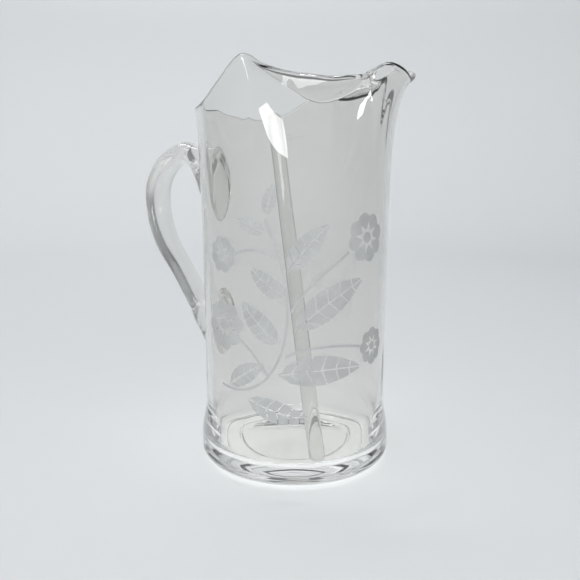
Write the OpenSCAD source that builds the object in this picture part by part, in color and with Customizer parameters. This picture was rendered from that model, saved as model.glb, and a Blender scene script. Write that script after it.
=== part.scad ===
// Blown glass pitcher with an applied handle and a loose stirring rod.
// Millimetres, +Z up. The origin is the centre of the foot, on the table.
// The pouring lip points along +X and the handle along -X.

/* [Vessel] */
// Outer diameter of the foot
foot_d = 100; // [94:1:115]
// Radius of the rounded edge under the foot
foot_edge_r = 5.5; // [3:0.5:7]
// Height up to which the foot keeps its full diameter
foot_band_z = 11; // [8:0.5:14]
// Height at which the foot has drawn in to the waist
waist_z = 32; // [26:1:40]
// Outer diameter at the waist
waist_d = 94.6; // [86:0.2:98]
// Thickness of the wall
wall = 2.6; // [2:0.1:3.6]
// Thickness of the base
base_t = 7; // [5:0.5:10]
// Radius of the fillet between the floor and the wall, inside
floor_fillet_r = 7; // [5:0.5:10]
// Radius of the shallow hollow under the base
punt_r = 29; // [15:1:34]
// Depth of the hollow under the base
punt_depth = 2.3; // [1:0.1:3]

/* [Lip and spout] */
// Mean height of the rim
rim_h = 190; // [182:1:215]
// Height of the formed lip, from the plain wall up to the mean rim
lip_rise = 50; // [46:1:54]
// How far the plain wall widens from the waist up to the mean rim, on each side
wall_flare = 1.8; // [0:0.1:4]
// How far the rim's two peaks stand out past the wall
peak_flare = 5.2; // [2:0.1:7]
// Gap between the two folds that hold back the ice
fold_gap = 34; // [26:1:44]
// How far the tip of the spout stands out past the middle of the wall
spout_reach = 11.5; // [7:0.5:16]
// Strength of the rim's waves
rim_wave = 1; // [0.6:0.05:1.15]

/* [Handle] */
// Width of the strap
strap_w = 18; // [12:0.5:24]
// Thickness of the strap at its bend
strap_t = 11; // [8:0.5:14]
// Distance from the wall to the middle of the strap at its bend
handle_reach = 38; // [32:0.5:48]
// Height of the middle of the upper pad
upper_pad_z = 142.5; // [136:0.5:146]
// Height of the upper pad
upper_pad_h = 40; // [32:1:42]
// Width of the upper pad
upper_pad_w = 23; // [18:0.5:28]
// Height of the middle of the lower pad
lower_pad_z = 66.5; // [60:0.5:76]
// Height of the lower pad
lower_pad_h = 38; // [28:1:42]
// Width of the lower pad
lower_pad_w = 26; // [18:0.5:30]

/* [Stirring rod] */
// Diameter of the rod
rod_d = 8; // [6:0.5:9]
// Length of the rod
rod_l = 193; // [190:1:230]
// Bearing of the place on the rim where the rod leans
rod_bearing = 131; // [126:1:140]
// Gap kept between the rod and the vessel
rod_gap = 0.5; // [0.3:0.1:1]

/* [Hidden] */
$fn = 96;

glass = [0.82, 0.88, 0.90];
foot_r = foot_d / 2;
waist_r = waist_d / 2;
inner_waist_r = waist_r - wall;
lip_z = rim_h - lip_rise;
bead_r = wall / 2;
rod_r = rod_d / 2;

// Where the lip is let into the top of the plain wall
seam_inset = 0.1;
tongue_depth = 3;
tongue_inset = 0.6;

// Smooth curve through two values with their slopes, over a stretch of the given length
function hermite(t, h0, h1, m0, m1, stretch) =
    h0 * (1 + 2 * t) * (1 - t) ^ 2 + m0 * stretch * t * (1 - t) ^ 2
    + h1 * t ^ 2 * (3 - 2 * t) - m1 * stretch * t ^ 2 * (1 - t);

// Outer radius of the plain wall above the waist, and how fast it widens
function wall_r(z) = waist_r + wall_flare * ((z - waist_z) / (rim_h - waist_z)) ^ 2;
function wall_slope(z) = 2 * wall_flare * (z - waist_z) / (rim_h - waist_z) ^ 2;

// Middle of the wall where the lip starts, and the depth of the folds from there
lip_foot_r = wall_r(lip_z) - bead_r;
half_gap = fold_gap / 2;
fold_depth = lip_foot_r - half_gap;
wave = rim_wave * lip_rise;

// Plain part of the rim: bearing from the spout, share of the flare, and the height of the rim over
// the mean rim in front and at the back, as shares of the lip's height
plain_rows = [
    [180, 0, -0.17, -0.17], [170, 0, -0.18, -0.2], [160, 0, -0.19, -0.22], [150, 0.1, -0.19, -0.235],
    [140, 0.22, -0.19, -0.24], [126, 0.35, -0.174, -0.2], [117, 0.46, -0.12, -0.13],
    [109, 0.62, -0.044, -0.034], [102, 0.77, 0.04, 0.03], [96, 0.92, 0.126, 0.066], [91.5, 1, 0.176, 0.086]
];
flare_start = 0.45;
function plain_row(r, side) =
    let (z = rim_h + wave * r[side] - bead_r,
         third = (z - lip_z) / 3,
         flare = peak_flare * r[1],
         rim_r = wall_r(z) - bead_r)
    [r[0], 0, third, rim_r + flare_start * flare - wall_slope(z) * third, z - third,
     (rim_r + flare) * cos(r[0]), (rim_r + flare) * sin(r[0]), z];

// Folds and spout: bearing on the wall, straight start, straight rise after it, radius and height of the
// shoulder, place of the edge, and its height over the mean rim in front and at the back
fold_rows = [
    [88.5, 0, 0.46, 1.106, 0.94, 0.013 * lip_foot_r, half_gap + 1.193 * fold_depth, 0.158, 0.08],
    [86, 0, 0.56, 1.1165, 1.03, 0.047 * lip_foot_r, half_gap + 1.1126 * fold_depth, 0.144, 0.066],
    [83, 0, 0.66, 1.1016, 1.104, 0.0854 * lip_foot_r, half_gap + 0.9517 * fold_depth, 0.104, 0.036],
    [79, 0, 0.74, 1.076, 1.166, 0.128 * lip_foot_r, half_gap + 0.764 * fold_depth, 0.064, 0.03],
    [71, 0, 0.84, 1.038, 1.2, 0.185 * lip_foot_r, half_gap + 0.41 * fold_depth, -0.008, 0.002],
    [63, 0, 0.9, 1.008, 1.21, 0.237 * lip_foot_r, half_gap + 0.144 * fold_depth, -0.064, -0.024],
    [54, 0.06, 0.92, 0.995, 1.23, 0.302 * lip_foot_r, 0.99 * half_gap, -0.12, -0.06],
    [43.5, 0.28, 0.94, 0.99, 1.205, 0.459 * lip_foot_r, 0.99 * half_gap, -0.164, -0.084],
    [33.5, 0.54, 0.98, 0.985, 1.185, 0.64 * lip_foot_r, half_gap, -0.136, -0.056],
    [27.4, 0.66, 0.985, 0.978, 1.155, 0.79 * lip_foot_r, half_gap, -0.074, -0.004],
    [23.8, 0.6, 0.95, 0.988, 1.1, 0.868 * lip_foot_r, 0.985 * half_gap, -0.006, 0.04],
    [20.8, 0.46, 0.88, 1.012, 1.06, 0.93 * lip_foot_r, 0.968 * half_gap, 0.046, 0.08],
    [18.2, 0.28, 0.77, 1.045, 1.02, lip_foot_r + 0.17 * spout_reach, 0.95 * half_gap, 0.092, 0.114],
    [16.4, 0.12, 0.66, 1.075, 0.99, lip_foot_r + 0.5 * spout_reach, 0.918 * half_gap, 0.12, 0.124],
    [12.6, 0.03, 0.6, 1.089, 0.985, lip_foot_r + 0.78 * spout_reach, 0.776 * half_gap, 0.106, 0.106],
    [7, 0, 0.6, 1.08, 0.96, lip_foot_r + 0.953 * spout_reach, 0.447 * half_gap, 0.074, 0.074],
    [0, 0, 0.6, 1.078, 0.93, lip_foot_r + spout_reach, 0, 0.026, 0.026]
];
function fold_row(r, side) =
    [r[0], r[1], lip_rise * r[2], lip_foot_r * r[3], lip_z + lip_rise * r[4] + wave * (r[side] - r[7]),
     r[5], r[6], rim_h + wave * r[side]];

// All rows once round, from the handle along the front to the spout and back behind
function front_side(r) = [-r[0], r[1], r[2], r[3], r[4], r[5], -r[6], r[7]];
front_rows = [for (r = plain_rows) front_side(plain_row(r, 2)), for (r = fold_rows) front_side(fold_row(r, 7))];
back_rows = [for (r = plain_rows) plain_row(r, 3), for (r = fold_rows) fold_row(r, 8)];
lip_rows = [each front_rows, for (i = [len(back_rows) - 2:-1:1]) back_rows[i]];
lip_count = len(lip_rows);
function lip_row(i) = lip_rows[(i + lip_count) % lip_count] + [360 * floor(i / lip_count), 0, 0, 0, 0, 0, 0, 0];

// Row between two rows, where u runs from 0 to the number of rows
function station(u) =
    let (i = floor(u), before = lip_row(i - 1), here = lip_row(i), there = lip_row(i + 1), after = lip_row(i + 2))
    [for (k = [0:7])
        hermite(u - i, here[k], there[k], (there[k] - before[k]) / 2, (after[k] - here[k]) / 2, 1)];
function station_at(bearing, low = 0, high = lip_count, tries = 40) =
    let (u = (low + high) / 2)
    tries == 0 ? u
    : station(u)[0] < bearing ? station_at(bearing, u, high, tries - 1)
    : station_at(bearing, low, u, tries - 1);

// Middle of the lip's glass, where part runs from 0 at the plain wall to 1 at the edge
straight_part = 0.5;
function on_wall(bearing, h) =
    let (r = lip_foot_r + wall_slope(lip_z) * h) [r * cos(bearing), r * sin(bearing), lip_z + h];
function curl(s, t) =
    (1 - t) ^ 3 * on_wall(s[0], lip_rise * s[1])
    + 3 * t * (1 - t) ^ 2 * on_wall(s[0], s[2])
    + 3 * t ^ 2 * (1 - t) * [s[3] * cos(s[0]), s[3] * sin(s[0]), s[4]]
    + t ^ 3 * [s[5], s[6], s[7]];
function sheet(u, part) =
    let (s = station(u), split = straight_part * s[1])
    part < split ? on_wall(s[0], lip_rise * s[1] * part / split) : curl(s, (part - split) / (1 - split));
function unit(v) = v / norm(v);
tiny = 0.002;
function along(u, part) = sheet(u + tiny, part) - sheet(u - tiny, part);
function outward(u, part) =
    unit(cross(along(u, part), sheet(u, min(part + tiny, 1)) - sheet(u, max(part - tiny, 0))));

// Outer half of the profile, from the middle of the hollow up to the top of the plain wall
punt_steps = 8;
arc_steps = 8;
wall_steps = 24;
function eased(t) = (1 - cos(180 * t)) / 2;
outer_profile = [
    for (i = [0:punt_steps]) let (t = i / punt_steps) [punt_r * t, punt_depth * (1 - t ^ 2)],
    for (i = [0:arc_steps]) let (a = 90 * i / arc_steps)
        [foot_r - foot_edge_r * (1 - sin(a)), foot_edge_r * (1 - cos(a))],
    for (i = [0:arc_steps - 1]) let (t = i / arc_steps)
        [foot_r + (waist_r - foot_r) * eased(t), foot_band_z + (waist_z - foot_band_z) * t],
    for (i = [0:wall_steps]) let (z = waist_z + (lip_z - waist_z) * i / wall_steps) [wall_r(z), z]
];

// Inner half of the profile, from the top of the plain wall down to the middle of the floor
inner_profile = [
    for (i = [wall_steps:-1:0]) let (z = waist_z + (lip_z - waist_z) * i / wall_steps)
        [wall_r(z) - wall, z],
    for (i = [arc_steps:-1:0]) let (a = 90 * i / arc_steps)
        [inner_waist_r - floor_fillet_r * (1 - sin(a)), base_t + floor_fillet_r * (1 - cos(a))],
    [0, base_t]
];

// Plain round part of the vessel: base, foot and wall up to the lip
module turned_body() {
    rotate_extrude() polygon(concat(outer_profile, inner_profile));
}

// Everything inside the outer surface of the wall, up past the handle
solid_z = rim_h - 0.3 * lip_rise;
module turned_solid() {
    rotate_extrude() polygon([
        each outer_profile,
        for (i = [1:arc_steps]) let (z = lip_z + (solid_z - lip_z) * i / arc_steps) [wall_r(z), z],
        [0, solid_z]
    ]);
}

// Steps along the lip's section, closer together where it bends
lip_steps = 15;
bead_steps = 6;
lip_start = 0.004;
fine_steps = 80;
bend_share = 0.2;
function bend(a, b) = acos(min(1, max(-1, a * b / norm(a) / norm(b))));
function lip_table(u) =
    let (spots = [for (i = [0:fine_steps]) sheet(u, lip_start + (1 - lip_start) * i / fine_steps)],
         runs = [for (i = [1:fine_steps]) spots[i] - spots[i - 1]],
         bends = [0, for (i = [1:fine_steps - 1]) bend(runs[i - 1], runs[i]), 0],
         costs = [for (i = [0:fine_steps - 1]) norm(runs[i]) + bend_share * (bends[i] + bends[i + 1]) / 2, 0])
    [for (i = 0, sum = 0; i <= fine_steps; sum = sum + costs[i], i = i + 1) [sum, i / fine_steps]];
function lip_parts_at(u) =
    let (table = lip_table(u))
    [for (i = [0:lip_steps]) lip_start + (1 - lip_start) * lookup(table[fine_steps][0] * i / lip_steps, table)];

// Section of the lip at one station: up the outside, over the bead, down the inside
function lip_section(u) =
    let (edge = sheet(u, 1),
         out = outward(u, 1),
         up = unit(cross(out, along(u, 1))),
         bearing = station(u)[0],
         parts = lip_parts_at(u),
         tongue_out = wall_r(lip_z) - tongue_inset,
         tongue_in = wall_r(lip_z) - wall + tongue_inset)
    [
        [tongue_out * cos(bearing), tongue_out * sin(bearing), lip_z - tongue_depth],
        for (i = [0:lip_steps - 1]) let (t = parts[i])
            sheet(u, t) + outward(u, t) * (bead_r - seam_inset * (1 - t)),
        for (i = [0:bead_steps]) let (b = 180 * i / bead_steps)
            edge + out * bead_r * cos(b) + up * bead_r * sin(b),
        for (i = [lip_steps - 1:-1:0]) let (t = parts[i])
            sheet(u, t) - outward(u, t) * (bead_r - seam_inset * (1 - t)),
        [tongue_in * cos(bearing), tongue_in * sin(bearing), lip_z - tongue_depth]
    ];

// Closed band of triangles over sections that each hold the same number of points
function band(count, size, wraps) = [
    for (i = [0:count - (wraps ? 1 : 2)], j = [0:size - 1])
        let (a = i * size + j,
             b = i * size + (j + 1) % size,
             c = ((i + 1) % count) * size + (j + 1) % size,
             d = ((i + 1) % count) * size + j)
        each [[a, c, b], [a, d, c]]
];

// Lip with its waves, its two folds and its spout
lip_parts = 2;
module lip() {
    count = lip_count * lip_parts;
    sections = [for (i = [count - 1:-1:0]) lip_section(i / lip_parts)];
    polyhedron([for (s = sections) each s], band(count, len(sections[0]), true));
}

module vessel() {
    color(glass, 0.4) {
        turned_body();
        lip();
    }
}

// Middle of the strap as distance from the axis and height, then the turn, thickness and width of its section
upper_r = wall_r(upper_pad_z);
lower_r = wall_r(lower_pad_z);
pad_sink = 3;
bend_r = upper_r + handle_reach;
bend_z = upper_pad_z - 0.21 * handle_reach;
crown_z = upper_pad_z + 0.46 * handle_reach;
lower_t = 0.864 * strap_t;
strap_points = [
    [upper_r - pad_sink, upper_pad_z, 0, upper_pad_h, upper_pad_w],
    [upper_r + 0.04 * handle_reach, upper_pad_z + 0.026 * handle_reach, 0, 0.9 * upper_pad_h, upper_pad_w],
    [upper_r + 0.145 * handle_reach, upper_pad_z + 0.21 * handle_reach, -6, 2.18 * strap_t, 1.167 * strap_w],
    [upper_r + 0.29 * handle_reach, upper_pad_z + 0.368 * handle_reach, -4, 1.27 * strap_t, 1.055 * strap_w],
    [upper_r + 0.5 * handle_reach, crown_z, 8, strap_t, strap_w],
    [bend_r - 0.237 * handle_reach, crown_z - 0.145 * handle_reach, 40, strap_t, strap_w],
    [bend_r - 0.053 * handle_reach, crown_z - 0.395 * handle_reach, 68, strap_t, strap_w],
    [bend_r, bend_z, 90, strap_t, strap_w],
    [bend_r - 0.04 * handle_reach, bend_z - 0.342 * handle_reach, 104, strap_t, strap_w],
    [bend_r - 0.184 * handle_reach, bend_z - 0.71 * handle_reach, 115, 0.955 * strap_t, strap_w],
    [lower_r + 0.592 * handle_reach, lower_pad_z + 0.71 * handle_reach, 120, lower_t, strap_w],
    [lower_r + 0.408 * handle_reach, lower_pad_z + 0.408 * handle_reach, 122, lower_t, strap_w],
    [lower_r + 0.263 * handle_reach, lower_pad_z + 0.21 * handle_reach, 130, 1.26 * lower_t, 1.055 * strap_w],
    [lower_r + 0.153 * handle_reach, lower_pad_z + 0.105 * handle_reach, 166, 0.605 * lower_pad_h, 1.22 * strap_w],
    [lower_r + 0.066 * handle_reach, lower_pad_z + 0.053 * handle_reach, 174, 0.842 * lower_pad_h, lower_pad_w],
    [lower_r - pad_sink, lower_pad_z, 180, lower_pad_h, lower_pad_w]
];
strap_last = len(strap_points) - 1;
function strap_lean(i) = (strap_points[min(i + 1, strap_last)] - strap_points[max(i - 1, 0)]) / 2;
function strap_between(i, t) = [for (k = [0:4])
    hermite(t, strap_points[i][k], strap_points[i + 1][k], strap_lean(i)[k], strap_lean(i + 1)[k], 1)];

// Oval section of the strap, with its thickness turned by s[2] from straight up towards the outside
strap_sides = 28;
function strap_section(s) = [for (i = [0:strap_sides - 1])
    let (a = 360 * i / strap_sides, up = s[3] / 2 * cos(a), across = s[4] / 2 * sin(a))
    [-s[0] - up * sin(s[2]), across, s[1] + up * cos(s[2])]];

strap_steps = 4;
module strap() {
    stations = concat(
        [for (i = [0:strap_last - 1], j = [0:strap_steps - 1]) strap_between(i, j / strap_steps)],
        [strap_points[strap_last]]);
    count = len(stations);
    first_cap = [for (j = [0:strap_sides - 1]) j];
    last_cap = [for (j = [strap_sides - 1:-1:0]) (count - 1) * strap_sides + j];
    polyhedron([for (s = stations) each strap_section(s)],
        concat([first_cap], band(count, strap_sides, false), [last_cap]));
}

module handle() {
    color(glass, 0.6) difference() {
        strap();
        turned_solid();
    }
}

// Lower end of the rod, nested in the fillet of the floor across from where it leans
nest_r = max(floor_fillet_r, rod_r + rod_gap);
nest_slack = nest_r - rod_r - rod_gap;
nest_angle = 70;
rod_foot_r = inner_waist_r - nest_r + nest_slack * cos(nest_angle);
rod_foot_z = base_t + nest_r - nest_slack * sin(nest_angle);

// Lean that brings the rod to rest just clear of the rim's bead
lean_edge = sheet(station_at(rod_bearing), 1);
lean_run = norm([lean_edge[0], lean_edge[1]]) + rod_foot_r;
lean_rise = lean_edge[2] - rod_foot_z;
lean_clear = rod_r + bead_r + rod_gap;
rod_lean = acos(lean_clear / norm([lean_run, lean_rise])) - atan2(lean_rise, lean_run);

// Round bar with round ends, standing on the middle of its lower end's ball
module bar() {
    rotate_extrude() polygon([
        for (i = [0:arc_steps]) let (a = 90 * i / arc_steps) [rod_r * sin(a), -rod_r * cos(a)],
        for (i = [0:arc_steps]) let (a = 90 * i / arc_steps)
            [rod_r * cos(a), rod_l - rod_d + rod_r * sin(a)]
    ]);
}

module stirring_rod() {
    color(glass, 0.8)
        rotate([0, 0, rod_bearing])
        translate([-rod_foot_r, 0, rod_foot_z])
        rotate([0, rod_lean, 0])
        bar();
}

vessel();
handle();
stirring_rod();
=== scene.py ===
import math

import bmesh
import bpy
from mathutils import Matrix, Vector


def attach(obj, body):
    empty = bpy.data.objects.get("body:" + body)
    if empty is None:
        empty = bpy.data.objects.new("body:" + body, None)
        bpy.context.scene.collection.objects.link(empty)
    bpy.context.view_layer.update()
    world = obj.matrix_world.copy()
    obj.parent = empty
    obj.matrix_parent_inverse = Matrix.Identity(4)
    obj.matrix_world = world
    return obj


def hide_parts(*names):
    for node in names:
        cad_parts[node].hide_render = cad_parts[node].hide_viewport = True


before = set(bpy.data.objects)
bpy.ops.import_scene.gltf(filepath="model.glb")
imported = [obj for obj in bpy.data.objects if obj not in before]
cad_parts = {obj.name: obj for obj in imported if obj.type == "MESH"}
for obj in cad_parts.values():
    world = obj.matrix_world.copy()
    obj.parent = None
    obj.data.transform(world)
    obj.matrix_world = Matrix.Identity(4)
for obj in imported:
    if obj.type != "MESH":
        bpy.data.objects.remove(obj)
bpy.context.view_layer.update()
print("frame loaded:", sorted(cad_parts))


# Camera, at the photograph's viewing angle and close to the glass
cameraSetup = {
    "bearing": 25.0,       # degrees from straight in front towards the pouring lip
    "distance": 0.341,     # from the vessel's axis, level
    "height": 0.150,
    "pitch": 10.35,        # degrees down
    "focalPixels": 656.0,  # in a frame of 580 pixels
    "frameWidth": 580.0,
    "axisOffset": 5.0,     # pixels from the middle of the frame to the vessel's axis
}


def makeCamera():
    c = cameraSetup
    bearing = math.radians(c["bearing"])
    cam = bpy.data.cameras.new("camera")
    cam.sensor_width = 36.0
    cam.lens = c["focalPixels"] / c["frameWidth"] * cam.sensor_width
    cam.clip_start = 0.01
    obj = bpy.data.objects.new("camera", cam)
    bpy.context.collection.objects.link(obj)
    obj.location = (c["distance"] * math.sin(bearing), -c["distance"] * math.cos(bearing), c["height"])
    swing = math.atan(c["axisOffset"] / c["focalPixels"])
    obj.rotation_euler = (math.radians(90.0 - c["pitch"]), 0.0, bearing + swing)
    bpy.context.scene.camera = obj


makeCamera()
print("camera placed")


# Node material helpers
def newMaterial(name):
    mat = bpy.data.materials.new(name)
    mat.use_nodes = True
    return mat, mat.node_tree.nodes, mat.node_tree.links, mat.node_tree.nodes["Principled BSDF"]


def objectNoise(nodes, links, scale, detail, stretch=(1.0, 1.0, 1.0)):
    coords = nodes.new("ShaderNodeTexCoord")
    mapping = nodes.new("ShaderNodeMapping")
    mapping.inputs["Scale"].default_value = stretch
    noise = nodes.new("ShaderNodeTexNoise")
    noise.inputs["Scale"].default_value = scale
    noise.inputs["Detail"].default_value = detail
    links.new(coords.outputs["Object"], mapping.inputs["Vector"])
    links.new(mapping.outputs["Vector"], noise.inputs["Vector"])
    return noise


noiseSpan = (0.3, 0.7)     # where nearly all of the noise lies


def remap(nodes, links, source, low, high):
    span = nodes.new("ShaderNodeMapRange")
    span.inputs["From Min"].default_value = noiseSpan[0]
    span.inputs["From Max"].default_value = noiseSpan[1]
    span.inputs["To Min"].default_value = low
    span.inputs["To Max"].default_value = high
    links.new(source, span.inputs["Value"])
    return span.outputs["Result"]


clearGlass = {
    "tint": (0.905, 0.9, 0.885),
    "ior": 1.5,
    "rippleScale": 38.0,     # hand-blown ripple, across the wall
    "rippleDetail": 1.0,
    "rippleStretch": (1.0, 1.0, 0.35),
    "rippleHeight": 0.0004,
    "smearScale": 60.0,      # faint smears in the polish
    "smearDetail": 3.0,
    "smear": 0.02,
    "shade": (0.955, 0.96, 0.96),     # what one surface lets through to the floor
}


def makeGlass(name, ripple, haze=0.0):
    g = clearGlass
    mat, nodes, links, shader = newMaterial(name)
    shader.inputs["Base Color"].default_value = (*g["tint"], 1.0)
    shader.inputs["Transmission Weight"].default_value = 1.0
    shader.inputs["IOR"].default_value = g["ior"]
    smears = objectNoise(nodes, links, g["smearScale"], g["smearDetail"])
    polish = remap(nodes, links, smears.outputs["Fac"], haze, haze + g["smear"])
    links.new(polish, shader.inputs["Roughness"])
    waves = objectNoise(nodes, links, g["rippleScale"], g["rippleDetail"], g["rippleStretch"])
    bump = nodes.new("ShaderNodeBump")
    bump.inputs["Strength"].default_value = ripple
    bump.inputs["Distance"].default_value = g["rippleHeight"]
    links.new(waves.outputs["Fac"], bump.inputs["Height"])
    links.new(bump.outputs["Normal"], shader.inputs["Normal"])
    letLampsThrough(nodes, links, shader, g["shade"])
    return mat


def letLampsThrough(nodes, links, shader, shade):
    # shadow rays pass the glass, so the floor behind it is lit
    path = nodes.new("ShaderNodeLightPath")
    veil = nodes.new("ShaderNodeBsdfTransparent")
    veil.inputs["Color"].default_value = (*shade, 1.0)
    mix = nodes.new("ShaderNodeMixShader")
    links.new(path.outputs["Is Shadow Ray"], mix.inputs["Fac"])
    links.new(shader.outputs["BSDF"], mix.inputs[1])
    links.new(veil.outputs["BSDF"], mix.inputs[2])
    links.new(mix.outputs["Shader"], nodes["Material Output"].inputs["Surface"])


def finishMesh(bm, name, material, body, nodes=(), smoothAngle=180.0):
    mesh = bpy.data.meshes.new(name)
    bm.to_mesh(mesh)
    bm.free()
    mesh.shade_smooth()
    if smoothAngle < 180.0:
        mesh.set_sharp_from_angle(angle=math.radians(smoothAngle))
    mesh.materials.append(material)
    piece = bpy.data.objects.new(name, mesh)
    bpy.context.collection.objects.link(piece)
    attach(piece, body)
    if nodes:
        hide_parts(*nodes)


weld = 1e-6     # metres, points nearer than this are one


def closeShell(bm, tolerance=weld):
    bmesh.ops.remove_doubles(bm, verts=bm.verts, dist=tolerance)
    bmesh.ops.recalc_face_normals(bm, faces=bm.faces)


def spinOutline(outline, steps):
    bm = bmesh.new()
    spots = [bm.verts.new((r, 0.0, z)) for r, z in outline]
    edges = [bm.edges.new(pair) for pair in zip(spots, spots[1:])]
    bmesh.ops.spin(bm, geom=spots + edges, cent=(0, 0, 0), axis=(0, 0, 1), angle=2 * math.pi,
                   steps=steps, use_merge=True, use_duplicate=False)
    closeShell(bm)
    return bm


# Points of an outline and of a curve
def arcPoints(centreR, centreZ, radius, first, last, steps):
    spots = []
    for i in range(steps + 1):
        a = math.radians(first + (last - first) * i / steps)
        spots.append((centreR + radius * math.cos(a), centreZ + radius * math.sin(a)))
    return spots


def spread(first, last, steps):
    return [first + (last - first) * i / steps for i in range(steps + 1)]


def bezierShares(t):
    return [(1 - t) ** 3, 3 * t * (1 - t) ** 2, 3 * t ** 2 * (1 - t), t ** 3]


def hermite(t, h0, h1, m0, m1):
    rise = h0 * (1 + 2 * t) * (1 - t) ** 2 + h1 * t ** 2 * (3 - 2 * t)
    return rise + m0 * t * (1 - t) ** 2 - m1 * t ** 2 * (1 - t)


# Vessel: one blown piece with its base, wall and lip, which is folded in on both sides of the spout
vessel = {
    "footR": 0.050, "footEdgeR": 0.0055, "footBandZ": 0.011,
    "waistZ": 0.032, "waistR": 0.0473, "wall": 0.0026, "wallFlare": 0.0018,
    "baseT": 0.007, "filletR": 0.007, "puntR": 0.029, "puntDepth": 0.0023,
    "underRings": [0.031, 0.040], "ringHalf": 0.0014, "ringDepth": 0.0005,     # shallow rings under the base
    "rimH": 0.190, "lipRise": 0.050, "peakFlare": 0.0052, "foldGap": 0.034, "spoutReach": 0.0115,
    "flareStart": 0.45,      # share of the flare, a third of the way down the lip
    "straightShare": 0.5,    # share of a section that a straight start of the full rise takes
    "ripple": 0.4,
    "steps": 256,            # around
    "lipSteps": 30,          # up the lip
    "lipSamples": 80, "bendWeight": 0.006,     # how the steps up the lip are spaced
    "wallSteps": 22, "underSteps": 50, "floorSteps": 7, "heelSteps": 4,
    "waveSteps": 9,          # hollow under the base, and the rise from foot to waist
    "arcSteps": 8,           # round edges
}
lipZ = vessel["rimH"] - vessel["lipRise"]
beadR = vessel["wall"] / 2.0


def wallRadius(z):
    v = vessel
    return v["waistR"] + v["wallFlare"] * ((z - v["waistZ"]) / (v["rimH"] - v["waistZ"])) ** 2


def wallSlope(z):
    v = vessel
    return 2 * v["wallFlare"] * (z - v["waistZ"]) / (v["rimH"] - v["waistZ"]) ** 2


def polar(r, bearing, z):
    a = math.radians(bearing)
    return Vector((r * math.cos(a), r * math.sin(a), z))


footR = wallRadius(lipZ) - beadR
halfGap = vessel["foldGap"] / 2.0
foldDepth = footR - halfGap
spoutReach = vessel["spoutReach"]

# Bearing from the spout, share of the flare, and the rim's height over the mean rim in front and at the
# back, as shares of the lip's height
plainRows = [
    (180, 0, -0.17, -0.17), (170, 0, -0.18, -0.2), (160, 0, -0.19, -0.22), (150, 0.1, -0.19, -0.235),
    (140, 0.22, -0.19, -0.24), (126, 0.35, -0.174, -0.2), (117, 0.46, -0.12, -0.13),
    (109, 0.62, -0.044, -0.034), (102, 0.77, 0.04, 0.03), (96, 0.92, 0.126, 0.066), (91.5, 1, 0.176, 0.086),
]

# Bearing on the wall, straight start, straight rise after it, radius and height of the shoulder, place of
# the edge, and its height over the mean rim in front and at the back
foldRows = [
    (88.5, 0, 0.46, 1.106, 0.94, 0.013 * footR, halfGap + 1.193 * foldDepth, 0.158, 0.08),
    (86, 0, 0.56, 1.1165, 1.03, 0.047 * footR, halfGap + 1.1126 * foldDepth, 0.144, 0.066),
    (83, 0, 0.66, 1.1016, 1.104, 0.0854 * footR, halfGap + 0.9517 * foldDepth, 0.104, 0.036),
    (79, 0, 0.74, 1.076, 1.166, 0.128 * footR, halfGap + 0.764 * foldDepth, 0.064, 0.03),
    (71, 0, 0.84, 1.038, 1.2, 0.185 * footR, halfGap + 0.41 * foldDepth, -0.008, 0.002),
    (63, 0, 0.9, 1.008, 1.21, 0.237 * footR, halfGap + 0.144 * foldDepth, -0.064, -0.024),
    (54, 0.06, 0.92, 0.995, 1.23, 0.302 * footR, 0.99 * halfGap, -0.12, -0.06),
    (43.5, 0.2, 0.94, 0.998, 1.205, 0.459 * footR, 0.99 * halfGap, -0.164, -0.084),
    (33.5, 0.32, 0.98, 1.008, 1.185, 0.64 * footR, halfGap, -0.136, -0.056),
    (27.4, 0.34, 0.985, 1.024, 1.145, 0.79 * footR, halfGap, -0.074, -0.004),
    (23.8, 0.3, 0.95, 1.036, 1.1, 0.868 * footR, 0.985 * halfGap, -0.006, 0.04),
    (20.8, 0.24, 0.88, 1.044, 1.06, 0.93 * footR, 0.968 * halfGap, 0.046, 0.08),
    (18.2, 0.16, 0.77, 1.054, 1.02, footR + 0.17 * spoutReach, 0.95 * halfGap, 0.092, 0.114),
    (16.4, 0.1, 0.66, 1.068, 0.99, footR + 0.5 * spoutReach, 0.918 * halfGap, 0.12, 0.124),
    (12.6, 0.03, 0.6, 1.084, 0.985, footR + 0.78 * spoutReach, 0.776 * halfGap, 0.106, 0.106),
    (7, 0, 0.6, 1.08, 0.96, footR + 0.953 * spoutReach, 0.447 * halfGap, 0.074, 0.074),
    (0, 0, 0.6, 1.078, 0.93, footR + spoutReach, 0, 0.026, 0.026),
]


def plainRow(row, side):
    v = vessel
    z = v["rimH"] + v["lipRise"] * row[side] - beadR
    third = (z - lipZ) / 3
    flare = v["peakFlare"] * row[1]
    rimR = wallRadius(z) - beadR
    edge = polar(rimR + flare, row[0], z)
    return [row[0], 0, third, rimR + v["flareStart"] * flare - wallSlope(z) * third, z - third, *edge]


def foldRow(row, side):
    rise = vessel["lipRise"]
    shoulderZ = lipZ + rise * (row[4] + row[side] - row[7])
    return [*row[0:2], rise * row[2], footR * row[3], shoulderZ, *row[5:7], vessel["rimH"] + rise * row[side]]


def lipRows():
    front = [plainRow(row, 2) for row in plainRows] + [foldRow(row, 7) for row in foldRows]
    back = [plainRow(row, 3) for row in plainRows] + [foldRow(row, 8) for row in foldRows]
    front = [[-row[0], *row[1:6], -row[6], row[7]] for row in front]
    return front + back[-2:0:-1]


rows = lipRows()


def rowAt(i, column):
    lap, k = divmod(i, len(rows))
    return rows[k][column] + (360.0 * lap if column == 0 else 0.0)


def station(u):
    i = math.floor(u)
    values = []
    for column in range(len(rows[0])):
        before, here, there, after = [rowAt(i + k, column) for k in (-1, 0, 1, 2)]
        values.append(hermite(u - i, here, there, (there - before) / 2, (after - here) / 2))
    return values


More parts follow.
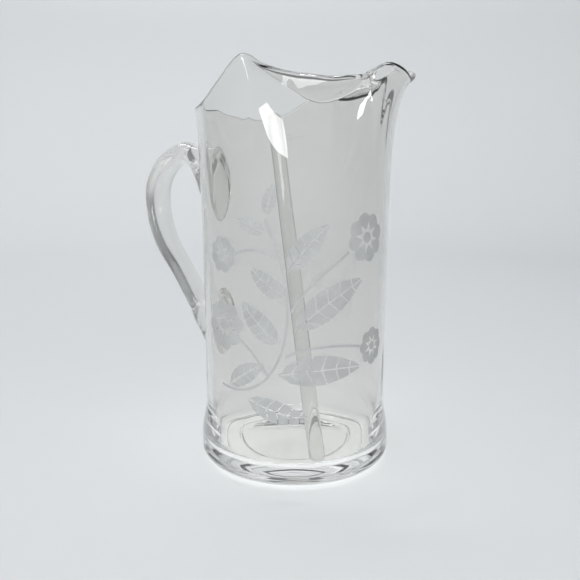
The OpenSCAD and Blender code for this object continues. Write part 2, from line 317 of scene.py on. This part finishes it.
def stationAt(bearing):
    halvings = 40            # finer than any vertex needs
    low, high = 0.0, float(len(rows))
    for _ in range(halvings):
        u = (low + high) / 2
        if station(u)[0] < bearing:
            low = u
        else:
            high = u
    return u


def onWall(bearing, h):
    return polar(footR + wallSlope(lipZ) * h, bearing, lipZ + h)


def lipSheet(u, part):
    bearing, straight, rise, shoulderR, shoulderZ, *edge = station(u)
    split = vessel["straightShare"] * straight
    straight *= vessel["lipRise"]
    if part < split:
        return onWall(bearing, straight * part / split)
    t = (part - split) / (1 - split)
    shoulder = polar(shoulderR, bearing, shoulderZ)
    spots = [onWall(bearing, straight), onWall(bearing, rise), shoulder, Vector(edge)]
    return sum((spot * share for spot, share in zip(spots, bezierShares(t))), Vector())


def lipFrame(u, part):
    tiny = 0.002
    around = lipSheet(u + tiny, part) - lipSheet(u - tiny, part)
    up = lipSheet(u, min(part + tiny, 1.0)) - lipSheet(u, max(part - tiny, 0.0))
    across = around.cross(up).normalized()
    return across, across.cross(around).normalized()


def ringRise(r):
    v = vessel
    near = min(abs(r - ring) for ring in v["underRings"]) / v["ringHalf"]
    return v["ringDepth"] * (1 + math.cos(math.pi * min(near, 1.0))) / 2


def vesselProfile():
    v = vessel
    rimZ = v["rimH"] - beadR
    innerR = v["waistR"] - v["wall"]
    heelZ = v["baseT"] + v["filletR"]
    edgeR = v["footEdgeR"]
    arc = v["arcSteps"]
    outline = [(v["puntR"] * t, v["puntDepth"] * (1 - t * t)) for t in spread(0.0, 1.0, v["waveSteps"])]
    outline += [(r, ringRise(r)) for r in spread(v["puntR"], v["footR"] - edgeR, v["underSteps"])[1:-1]]
    outline += arcPoints(v["footR"] - edgeR, edgeR, edgeR, -90.0, 0.0, arc)
    for t in spread(0.0, 1.0, v["waveSteps"])[:-1]:
        ease = (1 - math.cos(math.pi * t)) / 2
        z = v["footBandZ"] + (v["waistZ"] - v["footBandZ"]) * t
        outline.append((v["footR"] + (v["waistR"] - v["footR"]) * ease, z))
    outline += [(wallRadius(z), z) for z in spread(v["waistZ"], lipZ, v["wallSteps"])[:-1]]
    outline += [(wallRadius(z), z) for z in spread(lipZ, rimZ, v["lipSteps"])[:-1]]
    outline += arcPoints(wallRadius(rimZ) - beadR, rimZ, beadR, 0.0, 180.0, arc)
    outline += [(wallRadius(z) - v["wall"], z) for z in spread(rimZ, lipZ, v["lipSteps"])[1:]]
    outline += [(wallRadius(z) - v["wall"], z) for z in spread(lipZ, v["waistZ"], v["wallSteps"])[1:]]
    outline += [(innerR, z) for z in spread(v["waistZ"], heelZ, v["heelSteps"])[1:-1]]
    outline += arcPoints(innerR - v["filletR"], heelZ, v["filletR"], 0.0, -90.0, arc)
    outline += [(r, v["baseT"]) for r in spread(innerR - v["filletR"], 0.0, v["floorSteps"])[1:]]
    return outline


def lipParts(u):
    # even steps along the section, closer together where it bends
    fine = spread(0.0, 1.0, vessel["lipSamples"])
    spots = [lipSheet(u, part) for part in fine]
    runs = [b - a for a, b in zip(spots, spots[1:])]
    bends = [0.0] + [a.angle(b) for a, b in zip(runs, runs[1:])] + [0.0]
    weight = vessel["bendWeight"]
    costs = [run.length + weight * (a + b) for run, a, b in zip(runs, bends, bends[1:])]
    total, passed, k = sum(costs), 0.0, 0
    parts = []
    for goal in spread(0.0, total, vessel["lipSteps"]):
        while k < len(costs) - 1 and passed + costs[k] < goal:
            passed += costs[k]
            k += 1
        parts.append(fine[k] + (goal - passed) / costs[k] * (fine[1] - fine[0]))
    parts[-1] = 1.0
    return parts


def shapeLip(bm):
    rimZ = vessel["rimH"] - beadR
    stations = {}
    for vert in bm.verts:
        z = vert.co.z
        if z <= lipZ + weld:
            continue
        bearing = math.degrees(math.atan2(vert.co.y, vert.co.x))
        key = round(bearing, 3)
        if key not in stations:
            u = stationAt(bearing)
            stations[key] = (u, lipParts(u))
        u, parts = stations[key]
        step = round(min((z - lipZ) / (rimZ - lipZ), 1.0) * vessel["lipSteps"])
        offset = vert.co.xy.length - wallRadius(min(z, rimZ)) + beadR
        across, up = lipFrame(u, parts[step])
        vert.co = lipSheet(u, parts[step]) + across * offset + up * max(z - rimZ, 0.0)


def makeVessel():
    bm = spinOutline(vesselProfile(), vessel["steps"])
    shapeLip(bm)
    glass = makeGlass("vesselGlass", vessel["ripple"])
    finishMesh(bm, "blownVessel", glass, "pitcher", ["vessel"])


makeVessel()
print("vessel blown")


# Handle: a drawn strap of glass, with its two pads laid on the wall
handle = {
    "strapW": 0.018, "strapT": 0.011, "reach": 0.038,
    "upperPadZ": 0.1425, "upperPadH": 0.040, "upperPadW": 0.023,
    "lowerPadZ": 0.0665, "lowerPadH": 0.038, "lowerPadW": 0.026,
    "gap": 0.00004,          # left between pad and wall
    "sides": 64,
    "steps": 12,             # rings between two stations
    "capLoops": 8,           # rings on the face of a pad
    "weld": 1e-7,
    "sharpAngle": 50.0,
    "ripple": 0.2,
    "haze": 0.06,            # roughness of the drawn strap
}


def strapStations():
    h = handle
    upperR, lowerR = wallRadius(h["upperPadZ"]), wallRadius(h["lowerPadZ"])
    t, w, upZ, lowZ, reach = h["strapT"], h["strapW"], h["upperPadZ"], h["lowerPadZ"], h["reach"]
    lowT = 0.864 * t         # drawn thinner towards its lower end
    bendR, bendZ, crownZ = upperR + reach, upZ - 0.21 * reach, upZ + 0.46 * reach
    # distance from the axis, height, turn of the section, thickness, width
    return [
        (upperR, upZ, 0, h["upperPadH"], h["upperPadW"]),
        (upperR + 0.05 * reach, upZ + 0.026 * reach, 0, 0.9 * h["upperPadH"], h["upperPadW"]),
        (upperR + 0.145 * reach, upZ + 0.21 * reach, -6, 2.18 * t, 1.167 * w),
        (upperR + 0.29 * reach, upZ + 0.368 * reach, -4, 1.27 * t, 1.055 * w),
        (upperR + 0.5 * reach, crownZ, 8, t, w),
        (bendR - 0.237 * reach, crownZ - 0.145 * reach, 40, t, w),
        (bendR - 0.053 * reach, crownZ - 0.395 * reach, 68, t, w),
        (bendR, bendZ, 90, t, w),
        (bendR - 0.04 * reach, bendZ - 0.342 * reach, 104, t, w),
        (bendR - 0.184 * reach, bendZ - 0.71 * reach, 115, 0.955 * t, w),
        (lowerR + 0.592 * reach, lowZ + 0.71 * reach, 120, lowT, w),
        (lowerR + 0.408 * reach, lowZ + 0.408 * reach, 122, lowT, w),
        (lowerR + 0.263 * reach, lowZ + 0.21 * reach, 130, 1.26 * lowT, 1.055 * w),
        (lowerR + 0.153 * reach, lowZ + 0.105 * reach, 166, 0.605 * h["lowerPadH"], 1.22 * w),
        (lowerR + 0.066 * reach, lowZ + 0.053 * reach, 174, 0.842 * h["lowerPadH"], h["lowerPadW"]),
        (lowerR, lowZ, 180, h["lowerPadH"], h["lowerPadW"]),
    ]


def smoothStations(stations, steps):
    last = len(stations) - 1

    def lean(i):
        before, after = stations[max(i - 1, 0)], stations[min(i + 1, last)]
        return [(a - b) / 2 for a, b in zip(after, before)]

    smooth = []
    for i in range(last):
        for j in range(steps):
            t = j / steps
            pairs = zip(stations[i], stations[i + 1], lean(i), lean(i + 1))
            smooth.append([hermite(t, *pair) for pair in pairs])
    smooth.append(list(stations[last]))
    return smooth


def layOnWall(co):
    r = wallRadius(co.z) + handle["gap"]
    return Vector((-math.sqrt(max(r * r - co.y * co.y, 0.0)), co.y, co.z))


def placeRing(ring, section, laid=False, shrink=1.0):
    r, z, turn, thick, wide = section
    turn = math.radians(turn)
    for i, vert in enumerate(ring):
        a = 2 * math.pi * i / len(ring)
        up = thick / 2 * math.cos(a) * shrink
        across = wide / 2 * math.sin(a) * shrink
        vert.co = Vector((-r - up * math.sin(turn), across, z + up * math.cos(turn)))
        if laid:
            vert.co = layOnWall(vert.co)


def nextRing(bm, ring):
    edges = [bm.edges.get((ring[i], ring[(i + 1) % len(ring)])) for i in range(len(ring))]
    made = bmesh.ops.extrude_edge_only(bm, edges=edges)["geom"]
    fresh = {v for v in made if isinstance(v, bmesh.types.BMVert)}
    follow = []
    for vert in ring:
        follow.append(next(e.other_vert(vert) for e in vert.link_edges if e.other_vert(vert) in fresh))
    return follow


def closeOnWall(bm, ring, section):
    for k in range(1, handle["capLoops"]):
        ring = nextRing(bm, ring)
        placeRing(ring, section, True, 1.0 - k / handle["capLoops"])
    middle = layOnWall(Vector((0.0, 0.0, section[1])))
    bmesh.ops.pointmerge(bm, verts=nextRing(bm, ring), merge_co=middle)


def makeHandle():
    h = handle
    sections = smoothStations(strapStations(), h["steps"])
    bm = bmesh.new()
    first = bmesh.ops.create_circle(bm, cap_ends=False, radius=h["strapT"], segments=h["sides"])["verts"]
    placeRing(first, sections[0], True)
    ring = first
    for k, section in enumerate(sections[1:], 1):
        ring = nextRing(bm, ring)
        placeRing(ring, section, k == len(sections) - 1)
    closeOnWall(bm, ring, sections[-1])
    closeOnWall(bm, first, sections[0])
    closeShell(bm, h["weld"])
    glass = makeGlass("handleGlass", h["ripple"], h["haze"])
    finishMesh(bm, "strapHandle", glass, "pitcher", ["handle"], h["sharpAngle"])


makeHandle()
print("handle drawn")


# Stirring rod, leaning across the vessel
rod = {
    "radius": 0.004, "length": 0.193, "bearing": 131.0, "gap": 0.0005,
    "nestAngle": 70.0,       # where its foot lies in the round of the base
    "sides": 48, "endSteps": 10, "lengthSteps": 24,
    "ripple": 0.1,
}


def rodPlace():
    v = vessel
    innerR = v["waistR"] - v["wall"]
    nestR = max(v["filletR"], rod["radius"] + rod["gap"])
    slack = nestR - rod["radius"] - rod["gap"]
    nest = math.radians(rod["nestAngle"])
    standR = innerR - nestR + slack * math.cos(nest)
    standZ = v["baseT"] + nestR - slack * math.sin(nest)
    edge = lipSheet(stationAt(rod["bearing"]), 1.0)
    run = edge.xy.length + standR
    rise = edge.z - standZ
    clear = rod["radius"] + beadR + rod["gap"]
    lean = math.acos(clear / math.hypot(run, rise)) - math.atan2(rise, run)
    turn = Matrix.Rotation(math.radians(rod["bearing"]), 4, "Z")
    return turn @ Matrix.Translation((-standR, 0.0, standZ)) @ Matrix.Rotation(lean, 4, "Y")


def makeRod():
    top = rod["length"] - 2 * rod["radius"]
    outline = arcPoints(0.0, 0.0, rod["radius"], -90.0, 0.0, rod["endSteps"])
    outline += [(rod["radius"], z) for z in spread(0.0, top, rod["lengthSteps"])[1:-1]]
    outline += arcPoints(0.0, top, rod["radius"], 0.0, 90.0, rod["endSteps"])
    bm = spinOutline(outline, rod["sides"])
    bmesh.ops.transform(bm, matrix=rodPlace(), verts=bm.verts)
    glass = makeGlass("rodGlass", rod["ripple"])
    finishMesh(bm, "stirringRod", glass, "stirrer", ["stirring_rod"])


makeRod()
print("rod leaning")


# Garland of leaves and blossoms, as thin frosted patches on the front of the wall
garland = {
    "centre": -65.0,         # bearing of its middle
    "gap": 0.00003, "thickness": 0.00008,
    "sharpAngle": 40.0,
    "stemSteps": 48, "leafSteps": 4, "petalSteps": (14, 6), "heartSides": 24,
    "veins": 6, "veinGap": 0.009,
    "veinSlant": 0.12,       # towards the tip
    "leafBelly": 0.85, "leafFullness": 0.8,
    "petals": 8, "petalWidth": 0.8, "petalBelly": 1.6, "petalFullness": 0.7,
    "petalFoot": 0.3, "heart": 0.22,     # shares of the blossom's radius
    # millimetres from here on: across to the right, and height over the table
    "stemWidth": 1.3, "midrib": 0.35,
    "stems": [
        [(-40, 47), (-6, 38), (8, 84), (-14, 128)],
        [(-1.5, 86), (4, 97), (14, 104), (26, 113)],
        [(-4.5, 64.5), (6, 70), (20, 70), (34, 67)],
        [(-12.5, 54), (-17, 61), (-21, 67), (-27, 71)],
        [(-8.5, 110.5), (-15, 115), (-22, 115), (-29.5, 112)],
    ],
    # foot of the leaf, direction, length, width, bend
    "leaves": [
        (-34.5, 47.5, 40, 24, 9.5, -14), (-24, 43, -24, 33, 11, 16), (-8.5, 55.5, 10, 43, 14.5, -16),
        (-7.5, 70.5, 140, 27, 11, -12), (-0.5, 77, 42, 42, 14, -18), (-4.5, 93, 150, 21, 9, -16),
        (-3.5, 104.5, 56, 29, 11, -16), (-13.5, 122.5, 166, 16, 6.5, -12), (-13, 130, 84, 15, 6.5, -18),
    ],
    # middle, radius, turn
    "blossoms": [(-38, 77, 12.5, 6), (37.5, 119, 12, 15), (43.5, 65.5, 9.5, 0), (-38.5, 111, 9, 17)],
}


frost = {
    "darker": (0.48, 0.485, 0.485), "lighter": (0.57, 0.575, 0.575),
    "cloudScale": 90.0, "cloudDetail": 3.0,
    "grainScale": 2600.0, "grainDetail": 2.0, "grainStrength": 0.3, "grainHeight": 0.00005,
    "smoothest": 0.5, "roughest": 0.75,
    "alpha": 0.8,            # some of the glass shows through
}


def makeFrost():
    f = frost
    mat, nodes, links, shader = newMaterial("frostedGlass")
    grain = objectNoise(nodes, links, f["grainScale"], f["grainDetail"])
    clouds = objectNoise(nodes, links, f["cloudScale"], f["cloudDetail"])
    tone = nodes.new("ShaderNodeMix")
    tone.data_type = "RGBA"
    tone.inputs["A"].default_value = (*f["darker"], 1.0)
    tone.inputs["B"].default_value = (*f["lighter"], 1.0)
    links.new(remap(nodes, links, clouds.outputs["Fac"], 0.0, 1.0), tone.inputs["Factor"])
    links.new(tone.outputs["Result"], shader.inputs["Base Color"])
    etch = remap(nodes, links, grain.outputs["Fac"], f["smoothest"], f["roughest"])
    links.new(etch, shader.inputs["Roughness"])
    bump = nodes.new("ShaderNodeBump")
    bump.inputs["Strength"].default_value = f["grainStrength"]
    bump.inputs["Distance"].default_value = f["grainHeight"]
    links.new(grain.outputs["Fac"], bump.inputs["Height"])
    links.new(bump.outputs["Normal"], shader.inputs["Normal"])
    shader.inputs["Alpha"].default_value = f["alpha"]
    return mat


millimetre = 0.001


def garlandSpot(x, z):
    r = wallRadius(z * millimetre) + garland["gap"]
    return polar(r, garland["centre"] + math.degrees(x * millimetre / r), z * millimetre)


def frostPatch(bm, alongSteps, acrossSteps, place):
    made = bmesh.ops.create_grid(bm, x_segments=alongSteps, y_segments=acrossSteps, size=0.5)["verts"]
    for vert in made:
        vert.co = garlandSpot(*place(vert.co.x + 0.5, vert.co.y + 0.5))


def stemPoint(points, t):
    shares = bezierShares(t)
    return [sum(share * point[k] for share, point in zip(shares, points)) for k in (0, 1)]


def aside(x, z, turn, across):
    return x - across * math.sin(turn), z + across * math.cos(turn)


def addStem(bm, points):
    ahead = 0.01

    def place(t, w):
        x, z = stemPoint(points, t)
        nextX, nextZ = stemPoint(points, t + ahead)
        return aside(x, z, math.atan2(nextZ - z, nextX - x), (w - 0.5) * garland["stemWidth"])

    frostPatch(bm, garland["stemSteps"], 2, place)


def addLeaf(bm, footX, footZ, turn, length, width, bend):
    g = garland
    turn, bend = math.radians(turn), math.radians(bend)
    veins, midrib = g["veins"], g["midrib"]

    def place(along, w, side):
        along = min(along + g["veinSlant"] * w * (1 - along), 1.0)
        belly = max(math.sin(math.pi * along ** g["leafBelly"]), 0.0)
        half = width / 2 * belly ** g["leafFullness"]
        x = footX + length * along * math.cos(turn + bend * along / 2)
        z = footZ + length * along * math.sin(turn + bend * along / 2)
        return aside(x, z, turn + bend * along, side * (midrib + w * max(half - midrib, 0.0)))

    for k in range(veins):
        first = k / veins + g["veinGap"]
        span = 1 / veins - 2 * g["veinGap"]
        for side in (1, -1):
            frostPatch(bm, g["leafSteps"], g["leafSteps"], lambda t, w: place(first + span * t, w, side))


def addBlossom(bm, midX, midZ, radius, turn):
    g = garland
    petals = g["petals"]
    widest = g["petalWidth"] * radius * math.sin(math.pi / petals)
    for k in range(petals):
        a = math.radians(turn) + 2 * math.pi * k / petals

        def place(t, w):
            belly = max(math.sin(math.pi * t ** g["petalBelly"]), 0.0)
            half = widest * belly ** g["petalFullness"]
            out = radius * (g["petalFoot"] + (1 - g["petalFoot"]) * t)
            return aside(midX + out * math.cos(a), midZ + out * math.sin(a), a, (2 * w - 1) * half)

        frostPatch(bm, *g["petalSteps"], place)
    heart = bmesh.ops.create_circle(bm, cap_ends=True, cap_tris=True, segments=g["heartSides"],
                                    radius=g["heart"] * radius)["verts"]
    for vert in heart:
        vert.co = garlandSpot(midX + vert.co.x, midZ + vert.co.y)


def makeGarland():
    bm = bmesh.new()
    for points in garland["stems"]:
        addStem(bm, points)
    for leaf in garland["leaves"]:
        addLeaf(bm, *leaf)
    for blossom in garland["blossoms"]:
        addBlossom(bm, *blossom)
    bmesh.ops.remove_doubles(bm, verts=bm.verts, dist=weld)
    bm.normal_update()
    inward = [face for face in bm.faces if face.normal.xy.dot(face.calc_center_median().xy) < 0.0]
    bmesh.ops.reverse_faces(bm, faces=inward)
    bmesh.ops.solidify(bm, geom=bm.faces[:], thickness=-garland["thickness"])
    bmesh.ops.recalc_face_normals(bm, faces=bm.faces)
    finishMesh(bm, "frostedGarland", makeFrost(), "pitcher", (), garland["sharpAngle"])


makeGarland()
print("garland frosted")


# Stage: a pale floor that curves up into a wall all round, greyed with painted shade to the left and right of
# the camera
stage = {
    "middleR": 0.45, "floorR": 0.9, "coveR": 0.5, "wallTop": 1.4, "steps": 96, "coveSteps": 16,
    "drop": 0.0001,          # keeps the floor clear of the foot
    "floorColour": (0.62, 0.635, 0.645),
    # painted shade: the grey the stage takes on to the left and right of the camera
    "sideShadeColour": (0.36, 0.368, 0.374), "sidesFrom": 0.85, "sidesTo": 1.3,
    "roughness": 0.8,
}


def paintSideShade(nodes, links, shader):
    # painted shade: the stage greys to the left and right of the camera, standing in for a dimmer room there
    coords = nodes.new("ShaderNodeTexCoord")
    mapping = nodes.new("ShaderNodeMapping")
    mapping.inputs["Rotation"].default_value = (0.0, 0.0, -math.radians(cameraSetup["bearing"]))
    split = nodes.new("ShaderNodeSeparateXYZ")
    outward = nodes.new("ShaderNodeMath")
    outward.operation = "ABSOLUTE"
    span = nodes.new("ShaderNodeMapRange")
    span.interpolation_type = "SMOOTHSTEP"
    span.inputs["From Min"].default_value = stage["sidesFrom"]
    span.inputs["From Max"].default_value = stage["sidesTo"]
    tone = nodes.new("ShaderNodeMix")
    tone.data_type = "RGBA"
    tone.inputs["A"].default_value = (*stage["floorColour"], 1.0)
    tone.inputs["B"].default_value = (*stage["sideShadeColour"], 1.0)
    links.new(coords.outputs["Object"], mapping.inputs["Vector"])
    links.new(mapping.outputs["Vector"], split.inputs["Vector"])
    links.new(split.outputs["X"], outward.inputs[0])
    links.new(outward.outputs["Value"], span.inputs["Value"])
    links.new(span.outputs["Result"], tone.inputs["Factor"])
    links.new(tone.outputs["Result"], shader.inputs["Base Color"])


def makeStage():
    s = stage
    outline = [(0.0, -s["drop"]), (s["middleR"], -s["drop"])]
    outline += arcPoints(s["floorR"], s["coveR"] - s["drop"], s["coveR"], -90.0, 0.0, s["coveSteps"])
    outline.append((s["floorR"] + s["coveR"], s["wallTop"]))
    bm = spinOutline(outline, s["steps"])
    bmesh.ops.reverse_faces(bm, faces=bm.faces)
    mesh = bpy.data.meshes.new("stage")
    bm.to_mesh(mesh)
    bm.free()
    mesh.shade_smooth()
    mat, nodes, links, shader = newMaterial("paleStage")
    paintSideShade(nodes, links, shader)
    shader.inputs["Roughness"].default_value = s["roughness"]
    mesh.materials.append(mat)
    floor = bpy.data.objects.new("stage", mesh)
    bpy.context.collection.objects.link(floor)


makeStage()
print("stage set")


# Light: a window in front, a small lamp at the spout's side, a wash on the wall behind, a soft fill and
# a dim room. The lamps show as reflections only.
lights = {
    "window": {
        "place": (0.18, -1.09, 0.235), "aim": (0.0, -0.03, 0.2), "size": (0.38, 0.16), "watts": 0.24,
        "beam": 60.0,
    },
    "side": {
        "place": (1.13, 0.17, 0.286), "aim": (0.045, -0.018, 0.18), "size": (0.15, 0.06), "watts": 0.42,
    },
    "wash": {"place": (-0.55, 0.5, 1.5), "aim": (-0.85, 1.25, 0.35), "size": (1.0, 0.4), "watts": 9.5},
    "fill": {"place": (0.2, -0.75, 1.5), "aim": (0.0, 0.0, 0.1), "size": (1.1, 1.1), "watts": 20.5},
}
room = {"colour": (0.8, 0.83, 0.86), "strength": 0.25}
bounces = 24     # enough for the thick base


def makeLights():
    for name, spec in lights.items():
        lamp = bpy.data.lights.new(name, "AREA")
        lamp.shape = "RECTANGLE"
        lamp.size, lamp.size_y = spec["size"]
        lamp.energy = spec["watts"]
        lamp.spread = math.radians(spec.get("beam", 180.0))
        obj = bpy.data.objects.new(name, lamp)
        bpy.context.collection.objects.link(obj)
        obj.location = spec["place"]
        obj.visible_camera = False
        obj.visible_transmission = False
        obj.rotation_euler = (Vector(spec["aim"]) - Vector(spec["place"])).to_track_quat("-Z", "Y").to_euler()
    world = bpy.data.worlds.new("room")
    world.use_nodes = True
    back = world.node_tree.nodes["Background"]
    back.inputs["Color"].default_value = (*room["colour"], 1.0)
    back.inputs["Strength"].default_value = room["strength"]
    bpy.context.scene.world = world


makeLights()
bpy.context.scene.view_settings.view_transform = "Standard"
for kind in ("max", "glossy", "transmission", "transparent_max"):
    setattr(bpy.context.scene.cycles, kind + "_bounces", bounces)
print("stage lit")
